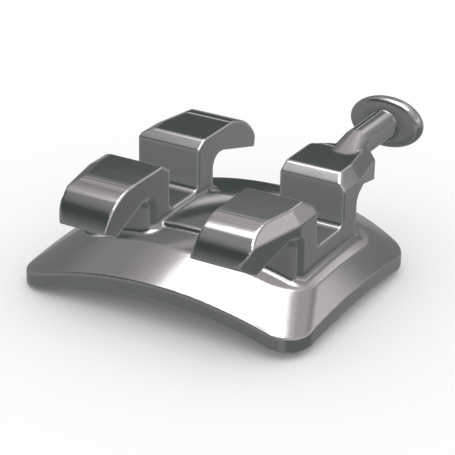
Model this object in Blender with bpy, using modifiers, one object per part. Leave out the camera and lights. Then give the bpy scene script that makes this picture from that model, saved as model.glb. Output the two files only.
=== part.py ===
"""Orthodontic twin bracket with a button hook, moulded in one piece of stainless steel.

Frame: X runs along the archwire slot, Y across it towards the hook, Z away from the tooth.
The origin is the middle of the bonding base, on the face that lies on the tooth.
The shape is drawn in millimetres and turned into metres at the end.
"""

import math

import bmesh
import bpy
from mathutils import Matrix, Vector

MILLIMETRE = 0.001

# Main sizes: half the base along and across the slot, and the top of the wings above the tooth
HALF_LENGTH = 1.665
HALF_WIDTH = 1.35
PROFILE_HEIGHT = 0.91

# Bonding base, drawn flat and then curved to the crown of the tooth
PAD_OFFSET = -0.09
PAD_CORNER = 0.36
FLANK_RISE = 0.15
FLANK_RUN_ALONG = 0.295
FLANK_RUN_ACROSS = 0.48
PLATEAU_MARGIN_ALONG = 0.13
PLATEAU_MARGIN_ACROSS = 0.21
PLATEAU_CORNER = 0.40
REAR_RADIUS = 3.1
REAR_BULGE = 0.26
CROWN_RADIUS_ALONG = 4.6
CROWN_RADIUS_ACROSS = 9.0
CURVE_STRIP = 0.30

# Retention field under the base
FIELD_MARGIN = 0.18
FIELD_DEPTH = 0.07
FIELD_CORNER = 0.20
PEG_DIAMETER = 0.15
PEG_PITCH = 0.29
PEG_SIDES = 10

# Archwire slot
SLOT_HEIGHT = 0.58
SLOT_DEPTH = 0.54
SLOT_FLOOR_RISE = 0.06
SLOT_CORNER = 0.09
MOUTH_WIDTH = 0.13
MOUTH_DEPTH = 0.08

# Towers, the channel between them and the bridge across it
CHANNEL_LENGTH = 0.97
WALL_CORNER = 0.09
FOOT_FILLET = 0.08
BRIDGE_RISE = 0.04
BRIDGE_HALF_WIDTH = 0.49
BRIDGE_EDGE = 0.04
ROOT_COVER = 0.02
CORE_SHARE = 0.3

# Tie wings, with the tips' end faces leaning back from upright by so many degrees
WING_FLAT = 0.31
WING_BEND_RADIUS = 0.64
WING_BEND_ANGLE = 61.0
WING_ROOT_THICKNESS = 0.26
FRONT_TIP_THICKNESS = 0.25
FRONT_TIP_LEAN = 60.0
REAR_TIP_THICKNESS = 0.14
REAR_TIP_LEAN = 5.0
UNDERCUT_RADIUS = 0.15
WING_TAPER = 0.13
WING_PLAN_CORNER = 0.18
SIDE_CHAMFER_WIDTH = 0.11
HOOK_SIDE_CHAMFER_DEPTH = 0.15
FAR_SIDE_CHAMFER_DEPTH = 0.055
EDGE_ROUND = 0.02

# Hook on the wing at +X, +Y
HOOK_SETBACK = 0.37
HOOK_WING_OVERHANG = 0.57
HOOK_WING_INNER_OVERHANG = 0.20
HOOK_WING_BULGE = 0.07
NECK_SEAT = 0.35
NECK_LENGTH = 0.40
NECK_WIDTH = 0.36
NECK_OFFSET = 0.03
POST_DIAMETER = 0.32
POST_DROP = 0.05
POST_LENGTH = 0.76
BUTTON_LENGTH = 0.86
BUTTON_HEIGHT = 0.57
BUTTON_DOME = 0.18
BUTTON_BACK = 0.10
BUTTON_EDGE = 0.08

# Finish
METAL_COLOUR = (0.46, 0.455, 0.45, 1.0)
METAL_ROUGHNESS = 0.22
SMOOTH_ANGLE = 30.0

# Drawing: how finely arcs are stepped, and how far joined shapes and cutters run past each other
CORNER_STEPS = 6
EDGE_STEPS = 3
EDGE_SEGMENTS = 2
BEND_STEPS = 10
TURN_STEPS = 24
BITE = 0.004
OVERLAP = 0.05
OVERCUT = 0.5
WELD_DISTANCE = 0.0001

WING_TOP = PROFILE_HEIGHT
WING_CEILING = WING_TOP - WING_ROOT_THICKNESS
SLOT_FLOOR = WING_TOP - SLOT_DEPTH
PLATEAU_HEIGHT = SLOT_FLOOR - SLOT_FLOOR_RISE
BRIDGE_TOP = PLATEAU_HEIGHT + BRIDGE_RISE
RIM_THICKNESS = PLATEAU_HEIGHT - FLANK_RISE
ROOT_HEIGHT = FIELD_DEPTH + ROOT_COVER
HALF_SLOT = SLOT_HEIGHT / 2
HALF_CHANNEL = CHANNEL_LENGTH / 2
HALF_PLATEAU_LENGTH = HALF_LENGTH - FLANK_RUN_ALONG
HALF_PLATEAU_WIDTH = HALF_WIDTH - FLANK_RUN_ACROSS
HALF_SPAN = HALF_PLATEAU_LENGTH - PLATEAU_MARGIN_ALONG
WALL_REACH = HALF_PLATEAU_WIDTH - PLATEAU_MARGIN_ACROSS
HALF_TOWER = (HALF_SPAN - HALF_CHANNEL) / 2
TOWER_CENTRE = HALF_SPAN - HALF_TOWER
WING_CORE = HALF_SLOT + CORE_SHARE * (WALL_REACH - HALF_SLOT)
BEND_START = WALL_REACH + WING_FLAT
WING_REACH = BEND_START + WING_BEND_RADIUS * math.sin(math.radians(WING_BEND_ANGLE))

# Turns a drawing of height over width into a section across the slot, drawn out along X
SECTION_ACROSS = Matrix(((0, 0, 1, 0), (1, 0, 0, 0), (0, 1, 0, 0), (0, 0, 0, 1)))


def clear_scene():
    for old in list(bpy.data.objects):
        bpy.data.objects.remove(old, do_unlink=True)


def new_collection(name):
    collection = bpy.data.collections.new(name)
    bpy.context.scene.collection.children.link(collection)
    return collection


def add_object(name, data, matrix=Matrix()):
    data.transform(matrix)
    obj = bpy.data.objects.new(name, data)
    bpy.context.scene.collection.objects.link(obj)
    return obj


def evaluated_mesh(obj):
    graph = bpy.context.evaluated_depsgraph_get()
    return bpy.data.meshes.new_from_object(obj.evaluated_get(graph))


def bake(obj):
    mesh = evaluated_mesh(obj)
    obj.modifiers.clear()
    obj.data = mesh


def weld(mesh):
    edit = bmesh.new()
    edit.from_mesh(mesh)
    bmesh.ops.remove_doubles(edit, verts=edit.verts, dist=WELD_DISTANCE)
    bmesh.ops.recalc_face_normals(edit, faces=edit.faces)
    edit.to_mesh(mesh)
    edit.free()


def combine(target, tool, operation):
    """Unites, cuts or intersects the target with the tool, which is used up."""
    modifier = target.modifiers.new(operation.lower(), "BOOLEAN")
    modifier.operation = operation
    modifier.solver = "EXACT"
    modifier.object = tool
    bake(target)
    bpy.data.objects.remove(tool, do_unlink=True)


def arc(centre, radius, start, end, steps=CORNER_STEPS):
    """Points on an arc, with the angles in degrees."""
    points = []
    for step in range(steps + 1):
        angle = math.radians(start + (end - start) * step / steps)
        points.append((centre[0] + radius * math.cos(angle), centre[1] + radius * math.sin(angle)))
    return points


def bulging_arc(start, end, bulge, steps=CORNER_STEPS):
    """Points on the arc from start to end that stands out from their chord, to its right, by the bulge."""
    start, end = Vector(start), Vector(end)
    half = (end - start) / 2
    radius = (half.length_squared + bulge * bulge) / (2 * bulge)
    outward = Vector((half.y, -half.x)).normalized()
    centre = (start + end) / 2 - outward * (radius - bulge)
    half_angle = math.degrees(math.asin(half.length / radius))
    middle = math.degrees(math.atan2(outward.y, outward.x))
    return arc(centre, radius, middle - half_angle, middle + half_angle, steps)


def rounded_rectangle(half_x, half_y, radius, centre_x=0.0):
    points = []
    quarters = ((1, 1, 0), (-1, 1, 90), (-1, -1, 180), (1, -1, 270))
    for side_x, side_y, start in quarters:
        centre = (centre_x + side_x * (half_x - radius), side_y * (half_y - radius))
        points += arc(centre, radius, start, start + 90)
    return points


def pad_outline(half_x, half_y, radius, centre_x=0.0):
    """A rounded rectangle whose side at +Y bulges, as an arc about the middle of the bracket."""
    left, right = centre_x - half_x + radius, centre_x + half_x - radius
    between = REAR_RADIUS - radius
    middle = half_y + REAR_BULGE - REAR_RADIUS
    angles = [math.degrees(math.acos(x / between)) for x in (right, left)]
    rear = [middle + math.sqrt(between * between - x * x) for x in (right, left)]
    return [
        *arc((right, rear[0]), radius, 0, angles[0]),
        *arc((0, middle), REAR_RADIUS, angles[0], angles[1])[1:-1],
        *arc((left, rear[1]), radius, angles[1], 180),
        *arc((left, radius - half_y), radius, 180, 270),
        *arc((right, radius - half_y), radius, 270, 360),
    ]


def at_height(outline, height):
    return [(x, y, height) for x, y in outline]


def box(name, low, high):
    """A box between two opposite corners."""
    low, high = Vector(low), Vector(high)
    edit = bmesh.new()
    bmesh.ops.create_cube(edit, size=1.0)
    mesh = bpy.data.meshes.new(name)
    edit.to_mesh(mesh)
    edit.free()
    size = high - low
    return add_object(name, mesh, Matrix.Translation((low + high) / 2) @ Matrix.Diagonal((*size, 1)))


def extruded(name, outline, low, high, matrix=Matrix()):
    """A flat drawing of a closed outline, given a thickness from low to high."""
    curve = bpy.data.curves.new(name, "CURVE")
    curve.dimensions = "2D"
    curve.fill_mode = "BOTH"
    curve.extrude = (high - low) / 2
    spline = curve.splines.new("POLY")
    spline.points.add(len(outline) - 1)
    for point, (x, y) in zip(spline.points, outline):
        point.co = (x, y, 0, 1)
    spline.use_cyclic_u = True
    drawing = add_object(name, curve)
    mesh = evaluated_mesh(drawing)
    bpy.data.objects.remove(drawing, do_unlink=True)
    weld(mesh)
    return add_object(name, mesh, matrix @ Matrix.Translation((0, 0, (low + high) / 2)))


def loft(name, rings):
    """A closed solid through rings that all have the same number of points."""
    edit = bmesh.new()
    loops = [[edit.verts.new(point) for point in ring] for ring in rings]
    for lower, upper in zip(loops, loops[1:]):
        count = len(lower)
        for index in range(count):
            after = (index + 1) % count
            edit.faces.new((lower[index], lower[after], upper[after], upper[index]))
    edit.faces.new(list(reversed(loops[0])))
    edit.faces.new(loops[-1])
    mesh = bpy.data.meshes.new(name)
    edit.to_mesh(mesh)
    edit.free()
    return add_object(name, mesh)


def turned(name, profile):
    """A profile of (radius, height) points from the top down, turned about Z."""
    mesh = bpy.data.meshes.new(name)
    points = [(radius, 0, height) for radius, height in profile]
    mesh.from_pydata(points, [(index, index + 1) for index in range(len(points) - 1)], [])
    solid = add_object(name, mesh)
    screw = solid.modifiers.new("turn", "SCREW")
    screw.steps = TURN_STEPS
    screw.render_steps = TURN_STEPS
    screw.use_merge_vertices = True
    screw.merge_threshold = WELD_DISTANCE
    bake(solid)
    weld(solid.data)
    return solid


def flat_pad():
    """Rim and sloping flanks, before they are curved."""
    rim = pad_outline(HALF_LENGTH, HALF_WIDTH, PAD_CORNER, PAD_OFFSET)
    plateau = pad_outline(HALF_PLATEAU_LENGTH, HALF_PLATEAU_WIDTH, PLATEAU_CORNER)
    return loft("pad", [at_height(rim, 0), at_height(rim, RIM_THICKNESS), at_height(plateau, PLATEAU_HEIGHT)])


def flared_foot(centre_x):
    """The sweep from the walls of a tower out into the plateau."""
    rings = []
    for flare, rise in arc((FOOT_FILLET, FOOT_FILLET), FOOT_FILLET, 270, 180):
        outline = rounded_rectangle(HALF_TOWER + flare, WALL_REACH + flare, WALL_CORNER + flare, centre_x)
        rings.append(at_height(outline, PLATEAU_HEIGHT + rise))
    rings.insert(0, [(x, y, RIM_THICKNESS) for x, y, z in rings[0]])
    return loft("foot", rings)


def bridge():
    """The low bar that joins the towers under the archwire."""
    corner = (BRIDGE_HALF_WIDTH - BRIDGE_EDGE, BRIDGE_TOP - BRIDGE_EDGE)
    half = arc(corner, BRIDGE_EDGE, 90, 0) + [(BRIDGE_HALF_WIDTH, ROOT_HEIGHT)]
    outline = half + [(-y, z) for y, z in reversed(half)]
    reach = HALF_CHANNEL + WALL_CORNER + OVERLAP
    return extruded("bridge", outline, -reach, reach, SECTION_ACROSS)


def cut_retention_field(pad):
    """A shallow recess inside the rim."""
    outline = pad_outline(HALF_LENGTH - FIELD_MARGIN, HALF_WIDTH - FIELD_MARGIN, FIELD_CORNER, PAD_OFFSET)
    combine(pad, extruded("field", outline, -OVERCUT, FIELD_DEPTH), "DIFFERENCE")


def curve_to_crown(base):
    """Slices the flat base into strips, and lets it sag with the crown of the tooth."""
    edit = bmesh.new()
    edit.from_mesh(base.data)
    strips = int(max(HALF_LENGTH, HALF_WIDTH) / CURVE_STRIP) + 1
    for direction in (Vector((1, 0, 0)), Vector((0, 1, 0))):
        for strip in range(-strips, strips):
            place = direction * (strip + 0.5) * CURVE_STRIP
            geometry = edit.verts[:] + edit.edges[:] + edit.faces[:]
            bmesh.ops.bisect_plane(edit, geom=geometry, dist=WELD_DISTANCE, plane_co=place, plane_no=direction)
    bmesh.ops.triangulate(edit, faces=edit.faces)
    for vertex in edit.verts:
        vertex.co.z -= crown_fall(vertex.co.x, vertex.co.y)
    edit.to_mesh(base.data)
    edit.free()


def crown_fall(x, y):
    """How far the crown of the tooth lies below its top."""
    return sag(x, CROWN_RADIUS_ALONG) + sag(y, CROWN_RADIUS_ACROSS)


def sag(distance, radius):
    """How far a circle falls away from its top at a distance from its middle."""
    return radius - math.sqrt(radius * radius - distance * distance)


def retention_pegs():
    """Rows of round pegs in the recess, each as long as the recess is deep."""
    edit = bmesh.new()
    columns = int((HALF_LENGTH - FIELD_MARGIN - PEG_DIAMETER) / PEG_PITCH)
    rows = int((HALF_WIDTH - FIELD_MARGIN - PEG_DIAMETER) / PEG_PITCH)
    length = FIELD_DEPTH + OVERLAP
    for column in range(-columns, columns + 1):
        for row in range(-rows, rows + 1):
            x, y = PAD_OFFSET + column * PEG_PITCH, row * PEG_PITCH
            place = Matrix.Translation((x, y, length / 2 - crown_fall(x, y)))
            radius = PEG_DIAMETER / 2
            bmesh.ops.create_cone(edit, cap_ends=True, segments=PEG_SIDES, radius1=radius, radius2=radius,
                                  depth=length, matrix=place)
    mesh = bpy.data.meshes.new("pegs")
    edit.to_mesh(mesh)
    edit.free()
    return add_object("pegs", mesh)


def bonding_base():
    base = flat_pad()
    for side in (-1, 1):
        combine(base, flared_foot(side * TOWER_CENTRE), "UNION")
    combine(base, bridge(), "UNION")
    cut_retention_field(base)
    curve_to_crown(base)
    combine(base, retention_pegs(), "UNION")
    return base


def wing_section(tip_thickness, tip_lean):
    """Half of the wings' section, from the middle of the slot floor out to the tip and back."""
    centre = (BEND_START, WING_TOP - WING_BEND_RADIUS)
    outer = arc(centre, WING_BEND_RADIUS, 90, 90 - WING_BEND_ANGLE, BEND_STEPS)
    tip_y, tip_z = outer[-1]
    lean = math.radians(tip_lean)
    inner_tip = (tip_y - tip_thickness * math.sin(lean), tip_z - tip_thickness * math.cos(lean))
    return [
        (HALF_SLOT, SLOT_FLOOR),
        (HALF_SLOT, WING_TOP - MOUTH_DEPTH),
        (HALF_SLOT + MOUTH_WIDTH, WING_TOP),
        *outer,
        inner_tip,
        (WALL_REACH + UNDERCUT_RADIUS, WING_CEILING),
        (WING_CORE, WING_CEILING),
        (WING_CORE, ROOT_HEIGHT),
    ]


def plain_quarter(side):
    """Plan of one wing, from the middle of its long outer side round its tip."""
    corner = WING_PLAN_CORNER
    tip = side - WING_TAPER
    return [
        (side, 0),
        (side, WALL_REACH),
        *arc((tip - corner, WING_REACH - corner), corner, 0, 90),
        (tip - corner, WING_REACH + OVERCUT),
    ]


def plan_outline(hook_inset, far_inset):
    """Plan of the four wings, with the long outer sides at +X and at -X moved in by an inset each."""
    side = HALF_SPAN - hook_inset
    beside_hook = plain_quarter(side)
    opposite = plain_quarter(HALF_SPAN - far_inset)
    hook_side = side - WING_TAPER * HOOK_WING_OVERHANG / (WING_REACH - WING_PLAN_CORNER - WALL_REACH)
    outer_end = (hook_side, WALL_REACH + HOOK_WING_OVERHANG)
    inner_end = (HALF_CHANNEL - OVERLAP, WALL_REACH + HOOK_WING_INNER_OVERHANG)
    hooked = [
        (side, 0),
        (side, WALL_REACH),
        *bulging_arc(outer_end, inner_end, HOOK_WING_BULGE),
        (inner_end[0], WING_REACH + OVERCUT),
    ]
    outline = hooked
    outline += [(-x, y) for x, y in reversed(opposite)]
    outline += [(-x, -y) for x, y in opposite[1:]]
    outline += [(x, -y) for x, y in reversed(beside_hook[1:])]
    return outline


def chamfered_plan():
    """Everything inside the plan, leaning inwards near the top to bevel the wings' outer sides."""
    rings = []
    for rise in (-WING_TOP - OVERCUT, -HOOK_SIDE_CHAMFER_DEPTH, -FAR_SIDE_CHAMFER_DEPTH, OVERLAP):
        hook_inset = max(0, SIDE_CHAMFER_WIDTH * (1 + rise / HOOK_SIDE_CHAMFER_DEPTH))
        far_inset = max(0, SIDE_CHAMFER_WIDTH * (1 + rise / FAR_SIDE_CHAMFER_DEPTH))
        rings.append(at_height(plan_outline(hook_inset, far_inset), WING_TOP + rise))
    return loft("plan", rings)


def tie_wings():
    """The four wings over the slot, with their edges eased."""
    rear = wing_section(REAR_TIP_THICKNESS, REAR_TIP_LEAN)
    front = wing_section(FRONT_TIP_THICKNESS, FRONT_TIP_LEAN)
    outline = rear + [(-y, z) for y, z in reversed(front)]
    wings = extruded("wings", outline, -HALF_SPAN - OVERLAP, HALF_SPAN + OVERLAP, SECTION_ACROSS)
    combine(wings, chamfered_plan(), "INTERSECT")
    far = WING_REACH + OVERCUT
    channel = box("channel", (-HALF_CHANNEL, -far, -OVERCUT), (HALF_CHANNEL, far, WING_TOP + OVERCUT))
    combine(wings, channel, "DIFFERENCE")
    weld(wings.data)
    edges = wings.modifiers.new("edges", "BEVEL")
    edges.limit_method = "ANGLE"
    edges.angle_limit = math.radians(SMOOTH_ANGLE)
    edges.width = EDGE_ROUND
    edges.segments = EDGE_SEGMENTS
    bake(wings)
    return wings


def tower(centre_x):
    """The upright walls of a tower, which sweep out into the undercut of its wings."""
    rings = [at_height(rounded_rectangle(HALF_TOWER, WALL_REACH, WALL_CORNER, centre_x), ROOT_HEIGHT)]
    sweep = arc((UNDERCUT_RADIUS, WING_CEILING + BITE - UNDERCUT_RADIUS), UNDERCUT_RADIUS, 180, 90)
    for flare, height in sweep:
        rings.append(at_height(rounded_rectangle(HALF_TOWER, WALL_REACH + flare, WALL_CORNER, centre_x), height))
    cap_reach = WALL_REACH + UNDERCUT_RADIUS - OVERLAP
    cap = rounded_rectangle(HALF_TOWER - OVERLAP, cap_reach, WALL_CORNER, centre_x)
    rings.append(at_height(cap, WING_CEILING + OVERLAP))
    return loft("tower", rings)


def twins():
    """Both towers with their wings, cut through by the slot."""
    block = tie_wings()
    for side in (-1, 1):
        combine(block, tower(side * TOWER_CENTRE), "UNION")
    corner = (HALF_SLOT - SLOT_CORNER, SLOT_FLOOR + SLOT_CORNER)
    half = [(HALF_SLOT, WING_TOP + OVERCUT), *arc(corner, SLOT_CORNER, 0, -90)]
    outline = half + [(-y, z) for y, z in reversed(half)]
    far = HALF_SPAN + OVERCUT
    combine(block, extruded("slot", outline, -far, far, SECTION_ACROSS), "DIFFERENCE")
    return block


def button():
    """A flat-backed dome, turned and then stretched along X."""
    radius = BUTTON_HEIGHT / 2
    dome = [(radius * x, BUTTON_DOME * z) for x, z in arc((0, 0), 1, 90, 0, BEND_STEPS)]
    edge = arc((radius - BUTTON_EDGE, BUTTON_EDGE - BUTTON_BACK), BUTTON_EDGE, 0, -90, EDGE_STEPS)
    solid = turned("button", [*dome, *edge, (0, -BUTTON_BACK)])
    solid.data.transform(Matrix.Diagonal((BUTTON_LENGTH / BUTTON_HEIGHT, 1, 1, 1)))
    return solid


def hook():
    """The button on a round post, which widens into the wing. It is drawn along Z and then laid down."""
    radius = POST_DIAMETER / 2
    button_height = NECK_LENGTH + POST_LENGTH
    rings = []
    for height, half_width, offset in ((0, NECK_WIDTH / 2, NECK_OFFSET), (NECK_LENGTH, radius, 0),
                                       (button_height, radius, 0)):
        circle = arc((0, 0), 1, 0, 360, TURN_STEPS)[:-1]
        rings.append([(offset + half_width * x, radius * y, height) for x, y in circle])
    post = loft("post", rings)
    head = button()
    head.data.transform(Matrix.Translation((0, 0, button_height)))
    combine(post, head, "UNION")
    seat = Vector((HALF_SPAN - HOOK_SETBACK, WALL_REACH + HOOK_WING_OVERHANG - NECK_SEAT, WING_TOP - POST_DROP))
    post.data.transform(Matrix.Translation(seat) @ Matrix.Rotation(math.radians(-90), 4, "X"))
    return post


def polished_steel():
    material = bpy.data.materials.new("polished_steel")
    material.use_nodes = True
    shader = material.node_tree.nodes["Principled BSDF"]
    shader.inputs["Base Color"].default_value = METAL_COLOUR
    shader.inputs["Metallic"].default_value = 1.0
    shader.inputs["Roughness"].default_value = METAL_ROUGHNESS
    material.diffuse_color = METAL_COLOUR
    return material


def main():
    clear_scene()
    collection = new_collection("orthodontic_bracket")
    bracket = bonding_base()
    bracket.name = "bracket"
    combine(bracket, twins(), "UNION")
    combine(bracket, hook(), "UNION")
    weld(bracket.data)
    bracket.data.transform(Matrix.Scale(MILLIMETRE, 4))
    bracket.data.materials.clear()
    bracket.data.materials.append(polished_steel())
    bracket.data.shade_smooth()
    bracket.data.set_sharp_from_angle(angle=math.radians(SMOOTH_ANGLE))
    bpy.context.scene.collection.objects.unlink(bracket)
    collection.objects.link(bracket)


main()
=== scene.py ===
"""Orthodontic twin bracket with a button hook, modelled finely over its CAD part, with its studio.

The shape is drawn in millimetres in the part's own frame: X along the archwire slot, Y across it
towards the hook, Z away from the tooth. It is turned into metres at the end.
"""

import math
from types import SimpleNamespace

import bmesh
import bpy
import numpy as np
from bpy.props import FloatProperty, FloatVectorProperty, IntProperty, PointerProperty
from mathutils import Matrix, Vector


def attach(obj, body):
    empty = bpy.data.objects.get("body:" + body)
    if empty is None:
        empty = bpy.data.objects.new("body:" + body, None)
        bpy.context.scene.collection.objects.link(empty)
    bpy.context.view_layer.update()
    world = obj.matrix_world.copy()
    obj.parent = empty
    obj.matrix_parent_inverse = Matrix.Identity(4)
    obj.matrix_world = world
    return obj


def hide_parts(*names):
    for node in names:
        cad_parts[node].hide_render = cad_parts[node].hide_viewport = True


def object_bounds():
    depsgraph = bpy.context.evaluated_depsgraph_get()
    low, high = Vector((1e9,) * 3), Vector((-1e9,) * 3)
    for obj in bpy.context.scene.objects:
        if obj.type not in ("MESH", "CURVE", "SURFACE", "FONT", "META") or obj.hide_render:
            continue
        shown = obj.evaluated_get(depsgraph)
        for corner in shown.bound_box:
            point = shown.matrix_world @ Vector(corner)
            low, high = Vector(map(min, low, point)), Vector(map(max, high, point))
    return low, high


bl_info = {
    "name": "Orthodontic Bracket",
    "version": (1, 0, 0),
    "blender": (4, 5, 0),
    "location": "View3D > Sidebar > Bracket",
    "description": "Builds an orthodontic twin bracket, its polished steel and its studio",
    "category": "Add Mesh",
}

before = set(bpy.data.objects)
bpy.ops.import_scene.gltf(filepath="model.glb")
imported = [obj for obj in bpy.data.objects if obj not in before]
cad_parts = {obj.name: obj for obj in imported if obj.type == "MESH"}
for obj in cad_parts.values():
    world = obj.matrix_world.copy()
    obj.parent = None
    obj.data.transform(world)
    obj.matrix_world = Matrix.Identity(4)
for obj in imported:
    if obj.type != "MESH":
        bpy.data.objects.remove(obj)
CAD_BOX = [list(corner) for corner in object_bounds()]

MILLIMETRE = 0.001
PHOTO_SIDE = 455

# Drawing: how finely arcs are stepped, and how far joined shapes and cutters run past each other
CORNER_STEPS = 18
EDGE_STEPS = 8
BEND_STEPS = 48
TURN_STEPS = 96
PEG_SIDES = 32
CROWN_STRIP = 0.06
BITE = 0.004
OVERLAP = 0.05
OVERCUT = 0.5
WELD_DISTANCE = 0.0001

# How far the towers' roots stand over the retention field, and the share of a wall that the wings fill
ROOT_COVER = 0.02
CORE_SHARE = 0.3

# Rounds of relaxing that level out an edge, a whole recess, and the masks that are made from them
EDGE_ROUNDS = 6
RECESS_ROUNDS = 150
MASK_ROUNDS = 2

# Clouds in the polish and ripples in the metal: how many go to a metre, their detail and their strength
CLOUDS = 1800.0
CLOUD_DETAIL = 3.0
CLOUD_CHANGE = 0.15
RIPPLES = 4500.0
RIPPLE_DETAIL = 2.0
RIPPLE_DEPTH = 0.000004

# The tent's cloths: the tone at each height, in degrees over the horizon
TENT_CLOTH = ((-30, "grey"), (-8, "dim"), (0, "grey"), (16, "grey"), (24, "dim"), (32, "dim"), (40, "pale"),
              (52, "pale"), (60, "bright"), (64, "lamp"))
# Cloths hung over it, each with its middle, its half width and its soft edge in degrees from +Y towards +X
TENT_SECTORS = (
    (82, 50, 8, ((-40, "dark"), (-12, "dark"), (-4, "dim"), (6, "dim"), (16, "pale"), (24, "bright"),
                 (30, "pale"), (38, "dim"), (48, "pale"), (58, "pale"), (64, "bright"), (70, "lamp"))),
    (4, 11, 4, ((-30, "grey"), (-8, "dim"), (0, "grey"), (16, "grey"), (24, "dim"), (30, "pale"),
                (33, "bright"), (42, "bright"), (45, "pale"), (56, "bright"), (62, "lamp"))),
    (-30, 19, 6, ((-30, "grey"), (-8, "dim"), (-2, "dark"), (6, "black"), (16, "black"), (17, "bright"),
                  (19.5, "bright"), (20.3, "black"), (24.4, "black"), (24.9, "grey"), (32, "grey"),
                  (33, "pale"), (34.5, "pale"), (35.5, "grey"), (37, "grey"), (40, "pale"), (52, "pale"),
                  (60, "bright"), (64, "lamp"))),
    (-68, 20, 6, ((-30, "grey"), (34, "grey"), (42, "dim"), (50, "dim"), (57, "pale"), (60, "bright"),
                  (63, "lamp"))),
    (-145, 60, 12, ((-40, "dark"), (-20, "grey"), (26, "grey"), (36, "dark"), (44, "black"), (52, "black"),
                    (57, "grey"), (61, "dim"), (67, "dim"), (72, "bright"), (75, "lamp"))),
)
# A cloth over the middle of the roof, so that level faces keep their grey when they are seen from above
ROOF_EDGE = 84
ROOF_CLOTH = ((ROOF_EDGE, "lamp"), (87, "pale"))
TENT_SEGMENTS = (96, 48)

FLOOR_SIZE = 0.6
SENSOR_WIDTH = 36.0
VIEW_RANGE = (0.001, 1.0)

# Turns a drawing of height over width into a section across the slot, drawn out along X
SECTION_ACROSS = Matrix(((0, 0, 1, 0), (1, 0, 0, 0), (0, 1, 0, 0), (0, 0, 0, 1)))


def length(name, description, millimetres):
    return FloatProperty(name=name, description=description, default=millimetres * MILLIMETRE,
                         precision=5, step=0.001, unit="LENGTH")


def angle(name, description, degrees):
    return FloatProperty(name=name, description=description, default=math.radians(degrees),
                         subtype="ANGLE", unit="ROTATION")


def share(name, description, default):
    return FloatProperty(name=name, description=description, default=default, min=0.0, max=1.0,
                         subtype="FACTOR")


def colour(name, description, default):
    return FloatVectorProperty(name=name, description=description, default=default, size=4, min=0.0,
                               soft_max=1.0, subtype="COLOR")


class BaseSizes(bpy.types.PropertyGroup):
    """Sizes of the bonding base and its retention field."""
    half_length: length("Half length", "Half the base's size along the slot", 1.665)
    half_width: length("Half width", "Half the base's size across the slot", 1.35)
    offset: length("Offset", "How far the base's middle lies from the slot's middle, along the slot", -0.09)
    corner: length("Corner", "Radius of the base's corners", 0.36)
    flank_rise: length("Flank rise", "Height of the sloping flanks over the rim", 0.15)
    flank_run_along: length("Flank run along", "Width of the flanks at the slot's ends", 0.295)
    flank_run_across: length("Flank run across", "Width of the flanks before and behind the wings", 0.48)
    plateau_margin_along: length("Margin along", "Plateau left beyond the towers' ends", 0.13)
    plateau_margin_across: length("Margin across", "Plateau left in front of and behind the towers", 0.21)
    plateau_corner: length("Plateau corner", "Radius of the plateau's corners", 0.40)
    rear_radius: length("Rear radius", "Radius of the base's bulging rear side, seen from above", 3.1)
    rear_bulge: length("Rear bulge", "How far the rear side stands out in its middle", 0.26)
    crown_radius_along: length("Crown along", "Radius of the tooth's crown along the slot", 4.6)
    crown_radius_across: length("Crown across", "Radius of the tooth's crown across the slot", 9.0)
    field_margin: length("Field margin", "Width of the plain rim round the retention field", 0.18)
    field_depth: length("Field depth", "Depth of the retention field", 0.07)
    field_corner: length("Field corner", "Radius of the retention field's corners", 0.20)
    peg_diameter: length("Peg", "Diameter of a retention peg", 0.15)
    peg_pitch: length("Peg pitch", "Distance between the middles of neighbouring pegs", 0.29)


class TwinSizes(bpy.types.PropertyGroup):
    """Sizes of the slot, the towers, the bridge and the tie wings."""
    profile_height: length("Profile height", "Top of the wings above the tooth", 0.91)
    slot_height: length("Slot height", "Width of the archwire slot", 0.58)
    slot_depth: length("Slot depth", "Depth of the archwire slot", 0.54)
    slot_floor_rise: length("Floor rise", "Height of the slot's floor over the plateau", 0.06)
    slot_corner: length("Slot corner", "Radius along the slot's floor", 0.09)
    mouth_width: length("Mouth width", "Width of the slot's bevelled mouth", 0.13)
    mouth_depth: length("Mouth depth", "Depth of the slot's bevelled mouth", 0.08)
    channel_length: length("Channel", "Width of the gap between the towers", 0.97)
    wall_corner: length("Wall corner", "Radius of the towers' upright corners", 0.09)
    foot_fillet: length("Foot fillet", "Radius at the foot of the towers", 0.08)
    bridge_rise: length("Bridge rise", "Height of the bridge over the plateau", 0.04)
    bridge_half_width: length("Bridge half width", "Half the width of the bridge across the slot", 0.49)
    bridge_edge: length("Bridge edge", "Radius along the bridge's edges", 0.04)
    wing_flat: length("Wing flat", "Flat top of a wing beyond the tower's wall", 0.31)
    bend_radius: length("Bend radius", "Outer radius of a wing's bend", 0.64)
    bend_angle: angle("Bend angle", "Angle that a wing bends through", 61)
    root_thickness: length("Root thickness", "Thickness of a wing over its undercut", 0.26)
    front_tip: length("Front tip", "Thickness of the front wings' tips", 0.25)
    front_tip_lean: angle("Front tip lean", "Angle that the front tips' ends lean from upright", 60)
    rear_tip: length("Rear tip", "Thickness of the rear wings' tips", 0.14)
    rear_tip_lean: angle("Rear tip lean", "Angle that the rear tips' ends lean from upright", 5)
    undercut_radius: length("Undercut radius", "Radius of the towers' sweep under the wings", 0.15)
    taper: length("Taper", "How far a wing's outer side draws in towards its tip", 0.13)
    plan_corner: length("Plan corner", "Radius of a wing's tip seen from above", 0.18)
    chamfer_width: length("Chamfer width", "Width of the bevel along the wings' outer sides", 0.11)
    hook_side_depth: length("Hook side depth", "Depth of the bevel on the side by the hook", 0.15)
    far_side_depth: length("Far side depth", "Depth of the bevel on the other outer side", 0.055)


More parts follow.
